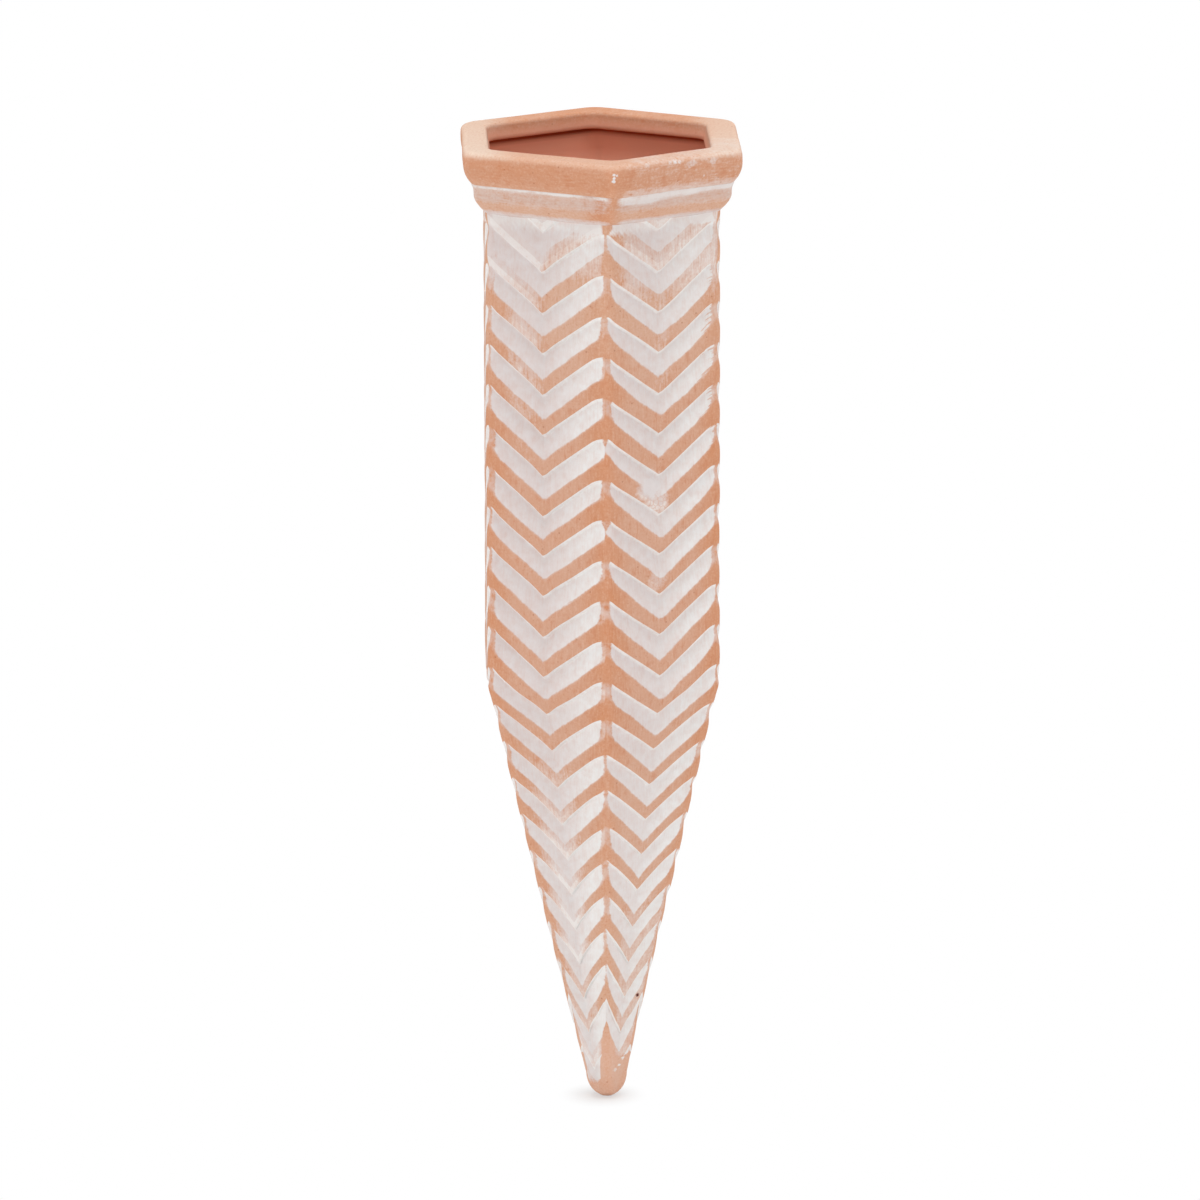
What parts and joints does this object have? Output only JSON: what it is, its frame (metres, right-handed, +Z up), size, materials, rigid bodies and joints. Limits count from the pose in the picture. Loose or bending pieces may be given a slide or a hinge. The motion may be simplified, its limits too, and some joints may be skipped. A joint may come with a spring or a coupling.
{
  "type": "self watering spike",
  "caption": "Hollow hexagonal clay watering spike with chevron ribs, whitewashed grooves, a double band and an open mouth for a bottle's neck at the top, and a solid tapered tip.",
  "frame": {"origin": "on the spike's axis at the soil line, the underside of the lower band, down to which the spike is pushed into the soil", "axes": "+Z up along the axis out of the mouth; two corners of the hexagon lie on the Y axis and two of its faces on the X axis"},
  "size_m": [0.0556, 0.0632, 0.2],
  "materials": {
    "terracotta": "matte fired clay, unglazed",
    "whitewash": "matte lime wash, wiped"
  },
  "bodies": {
    "root": {"collar_ring": "terracotta", "neck_bead": "terracotta", "shaft_shell": "terracotta", "point_shell": "terracotta", "tip_nose": "terracotta", "whitewash_face_1": "whitewash", "whitewash_face_2": "whitewash", "whitewash_face_3": "whitewash", "whitewash_face_4": "whitewash", "whitewash_face_5": "whitewash", "whitewash_face_6": "whitewash", "whitewash_collar_line": "whitewash", "whitewash_bead_line": "whitewash"}
  },
  "joints": []
}
